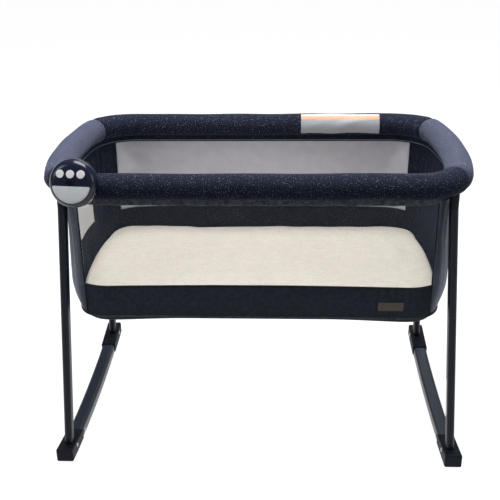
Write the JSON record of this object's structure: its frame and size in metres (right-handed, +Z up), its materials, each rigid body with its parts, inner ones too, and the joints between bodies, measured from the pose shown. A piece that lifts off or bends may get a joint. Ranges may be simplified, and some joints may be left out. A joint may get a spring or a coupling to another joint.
{
  "type": "rocking bassinet",
  "caption": "Oval rocking bassinet: fabric and net basket under a padded rail, on two plug-in stands with splayed legs and curved rockers, with a pad and a clip-on soother light.",
  "frame": {"origin": "on the floor under the middle of the basket, at the bottom centre of the whole object", "axes": "+X along the basket to the right-hand stand, -Y towards the side that carries the soother, +Z up"},
  "size_m": [0.915, 0.6, 0.7174],
  "materials": {
    "rail_tube": "bare drawn steel tube, hidden in the sleeve",
    "sleeve_cloth": "navy knitted cloth with small light flecks over foam",
    "trim_cloth": "silver-grey satin binding",
    "band_cloth": "dark grey-navy woven cloth",
    "end_cloth": "grey-blue smooth cloth",
    "net": "light see-through net",
    "piping": "woven piping",
    "floor_cloth": "black woven cloth",
    "floor_board": "plain fibre board",
    "mattress": "cream cotton cover",
    "stand_paint": "satin dark navy powder coat",
    "cap_plastic": "matte moulded plastic",
    "socket_plastic": "matte moulded plastic",
    "screw_steel": "zinc-plated steel",
    "housing_plastic": "glossy moulded plastic",
    "light_plastic": "milky white moulded plastic",
    "board_green": "glass-fibre circuit board",
    "speaker_black": "black paper cone in a steel basket",
    "cell": "wrapped dry cell",
    "rail_label": "woven satin label, blank",
    "patch": "brown patch, blank",
    "wall_label": "white satin label, blank"
  },
  "bodies": {
    "basket_frame": {"rail_tube_left": "rail_tube", "rail_tube_right": "rail_tube", "rail_joiners": "rail_tube", "rail_rivets": "screw_steel", "socket_rivets": "screw_steel", "front_rail_pad": "sleeve_cloth", "back_rail_pad": "sleeve_cloth", "left_rail_pad": "sleeve_cloth", "right_rail_pad": "sleeve_cloth", "rail_trim": "trim_cloth", "front_band": "band_cloth", "back_band": "band_cloth", "front_mesh": "net", "back_mesh": "net", "left_end_wall": "end_cloth", "right_end_wall": "end_cloth", "bottom_piping": "piping", "floor_cloth": "floor_cloth", "floor_board": "floor_board", "rail_label": "rail_label", "band_patch": "patch", "wall_label": "wall_label", "front_left_socket": "socket_plastic", "back_left_socket": "socket_plastic", "front_right_socket": "socket_plastic", "back_right_socket": "socket_plastic", "soother_bracket": "socket_plastic"},
    "left_stand": {"front_left_leg": "stand_paint", "front_left_spigot": "cap_plastic", "front_left_rocker_cap": "cap_plastic", "back_left_leg": "stand_paint", "back_left_spigot": "cap_plastic", "back_left_rocker_cap": "cap_plastic", "left_rocker_bar": "stand_paint", "left_stand_bolts": "screw_steel"},
    "right_stand": {"front_right_leg": "stand_paint", "front_right_spigot": "cap_plastic", "front_right_rocker_cap": "cap_plastic", "back_right_leg": "stand_paint", "back_right_spigot": "cap_plastic", "back_right_rocker_cap": "cap_plastic", "right_rocker_bar": "stand_paint", "right_stand_bolts": "screw_steel"},
    "mattress": {"mattress_pad": "mattress"},
    "soother": {"soother_back_shell": "housing_plastic", "soother_front_shell": "housing_plastic", "soother_lens": "light_plastic", "soother_screws": "screw_steel", "soother_circuit_board": "board_green", "soother_speaker": "speaker_black", "soother_batteries": "cell"},
    "battery_door": {"soother_battery_door": "housing_plastic"},
    "left_button": {"soother_button_left": "light_plastic"},
    "middle_button": {"soother_button_middle": "light_plastic"},
    "right_button": {"soother_button_right": "light_plastic"}
  },
  "joints": [
    {"name": "left_stand_unplug", "type": "slide", "parent": "basket_frame", "child": "left_stand", "axis": [0, 0, -1], "range_m": [0, 0.06]},
    {"name": "right_stand_unplug", "type": "slide", "parent": "basket_frame", "child": "right_stand", "axis": [0, 0, -1], "range_m": [0, 0.06]},
    {"name": "mattress_lift", "type": "slide", "parent": "basket_frame", "child": "mattress", "axis": [0, 0, 1], "range_m": [0, 0.2]},
    {"name": "soother_lift", "type": "slide", "parent": "basket_frame", "child": "soother", "axis": [0, 0, 1], "range_m": [0, 0.03]},
    {"name": "battery_door_lift", "type": "slide", "parent": "soother", "child": "battery_door", "axis": [0.101, 0.9606, -0.2588], "range_m": [0, 0.006]},
    {"name": "left_button_press", "type": "slide", "parent": "soother", "child": "left_button", "axis": [0.101, 0.9606, -0.2588], "range_m": [0, 0.0015], "stiffness_N_per_m": 600},
    {"name": "middle_button_press", "type": "slide", "parent": "soother", "child": "middle_button", "axis": [0.101, 0.9606, -0.2588], "range_m": [0, 0.0015], "stiffness_N_per_m": 600},
    {"name": "right_button_press", "type": "slide", "parent": "soother", "child": "right_button", "axis": [0.101, 0.9606, -0.2588], "range_m": [0, 0.0015], "stiffness_N_per_m": 600}
  ]
}
